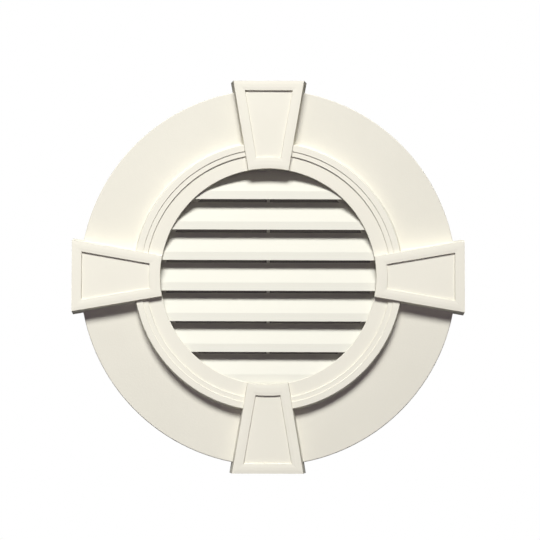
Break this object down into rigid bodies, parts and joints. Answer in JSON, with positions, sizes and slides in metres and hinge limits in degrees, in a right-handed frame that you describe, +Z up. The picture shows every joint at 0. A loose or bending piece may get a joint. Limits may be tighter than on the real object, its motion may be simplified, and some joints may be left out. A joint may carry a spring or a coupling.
{
  "type": "gable vent",
  "caption": "Round louvred gable vent: a wide flat trim disc with a stepped ring and hollow keystones, snapped on a nailed louvre base with an insect screen.",
  "frame": {"origin": "centre of the louvre opening, on the wall plane at the back of the nailing flange and of the face's edges", "axes": "+X to the right and +Z up as seen from the front, +Y into the wall; the front faces -Y"},
  "size_m": [0.7746, 0.0457, 0.7746],
  "materials": {
    "trim_plastic": "matte, very fine moulded grain",
    "louvre_plastic": "matte, smooth",
    "screen_mesh": "matte charcoal"
  },
  "bodies": {
    "root": {"face_trim": "trim_plastic", "louver_base": "louvre_plastic", "insect_screen": "screen_mesh"}
  },
  "joints": []
}
